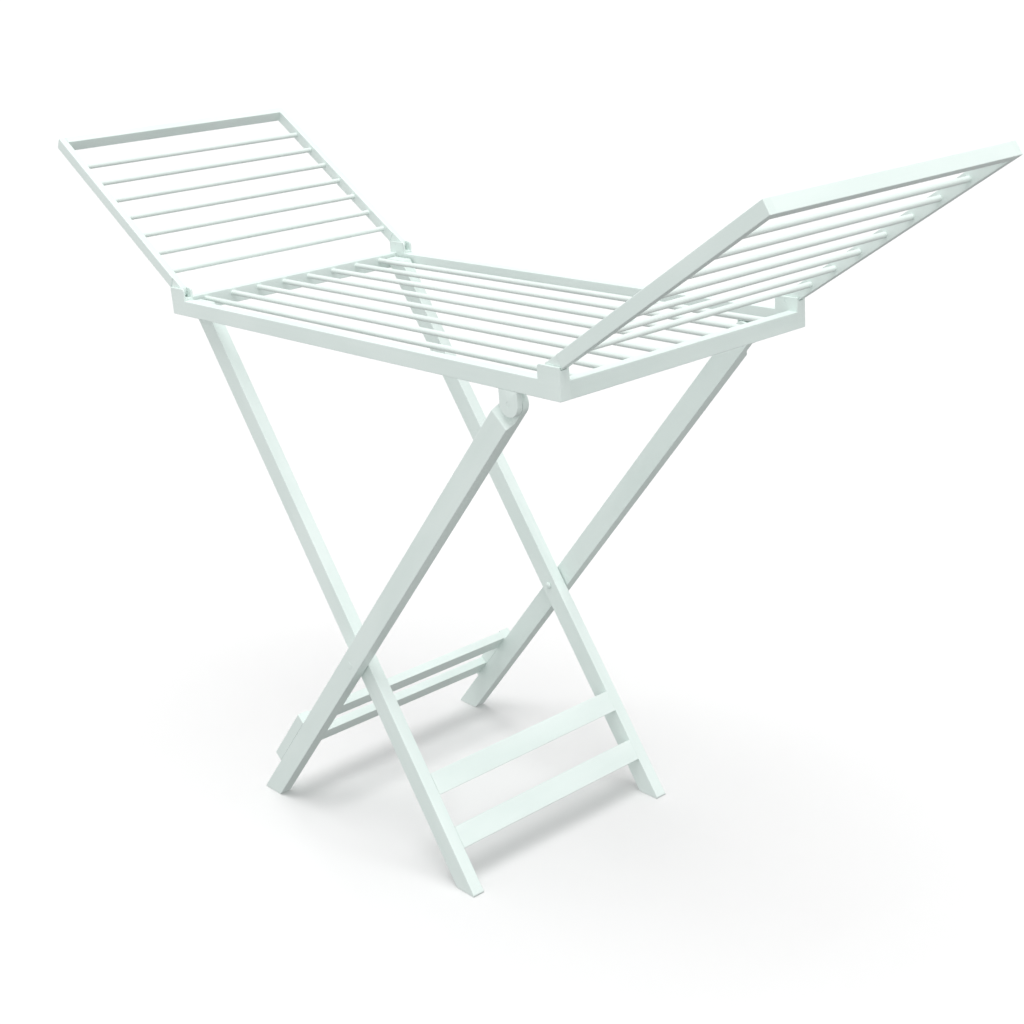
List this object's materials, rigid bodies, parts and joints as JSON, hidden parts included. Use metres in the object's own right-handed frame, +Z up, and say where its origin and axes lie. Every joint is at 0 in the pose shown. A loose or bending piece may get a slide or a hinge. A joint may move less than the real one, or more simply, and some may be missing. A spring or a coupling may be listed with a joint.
{
  "type": "clothes drying rack",
  "caption": "Folding wooden clothes drying rack with a barred top frame, tilting barred wings and scissor legs joined by cross slats.",
  "frame": {"origin": "on the floor, at the middle of the opened rack's footprint box", "axes": "+X along the long rails towards the end that the outer legs carry, +Y across the rack towards the rear, +Z up"},
  "size_m": [1.8884, 0.551, 1.3072],
  "materials": {
    "timber": "white satin paint over wood",
    "bars": "white satin paint over round wooden bars",
    "hardware": "white painted steel"
  },
  "bodies": {
    "outer_legs": {"outer_leg_front": "timber", "outer_leg_rear": "timber", "outer_block_front": "timber", "outer_block_rear": "timber", "scissor_bolt_front": "hardware", "scissor_bolt_rear": "hardware", "scissor_washer_front": "hardware", "scissor_washer_rear": "hardware", "scissor_nut_front": "hardware", "scissor_nut_rear": "hardware", "outer_slat_upper": "timber", "outer_slat_lower": "timber"},
    "inner_legs": {"inner_leg_front": "timber", "inner_leg_rear": "timber", "inner_slat_upper": "timber", "inner_slat_lower": "timber"},
    "top_frame": {"long_rail_front": "timber", "long_rail_rear": "timber", "leg_hanger_front": "timber", "leg_hanger_rear": "timber", "leg_pin_front": "hardware", "leg_pin_rear": "hardware", "end_rail_left": "timber", "end_rail_right": "timber", "frame_bar_1": "bars", "frame_bar_2": "bars", "frame_bar_3": "bars", "frame_bar_4": "bars", "frame_bar_5": "bars", "frame_bar_6": "bars", "frame_bar_7": "bars", "frame_bar_8": "bars", "wing_pin_left_front": "hardware", "wing_pin_left_rear": "hardware", "wing_pin_right_front": "hardware", "wing_pin_right_rear": "hardware"},
    "wing_left": {"wing_left_side_front": "timber", "wing_left_side_rear": "timber", "wing_left_end": "timber", "wing_left_bar_1": "bars", "wing_left_bar_2": "bars", "wing_left_bar_3": "bars", "wing_left_bar_4": "bars", "wing_left_bar_5": "bars", "wing_left_bar_6": "bars", "wing_left_bar_7": "bars"},
    "wing_right": {"wing_right_side_front": "timber", "wing_right_side_rear": "timber", "wing_right_end": "timber", "wing_right_bar_1": "bars", "wing_right_bar_2": "bars", "wing_right_bar_3": "bars", "wing_right_bar_4": "bars", "wing_right_bar_5": "bars", "wing_right_bar_6": "bars", "wing_right_bar_7": "bars"}
  },
  "joints": [
    {"name": "frame_fold", "type": "hinge", "parent": "outer_legs", "child": "top_frame", "pos_m": [0.432, 0, 0.968], "axis": [0, -1, 0], "range_deg": [0, 48.81]},
    {"name": "scissor", "type": "hinge", "parent": "outer_legs", "child": "inner_legs", "pos_m": [-0.07793, 0, 0.38522], "axis": [0, 1, 0], "range_deg": [0, 75.2]},
    {"name": "wing_left_hinge", "type": "hinge", "parent": "top_frame", "child": "wing_left", "pos_m": [-0.526, 0, 1.036], "axis": [0, 1, 0], "range_deg": [0, 147.6]},
    {"name": "wing_right_hinge", "type": "hinge", "parent": "top_frame", "child": "wing_right", "pos_m": [0.526, 0, 1.036], "axis": [0, -1, 0], "range_deg": [0, 147.6]}
  ],
  "couplings": [
    {"joint": "scissor", "follows": "frame_fold", "ratio": 1.5406}
  ]
}
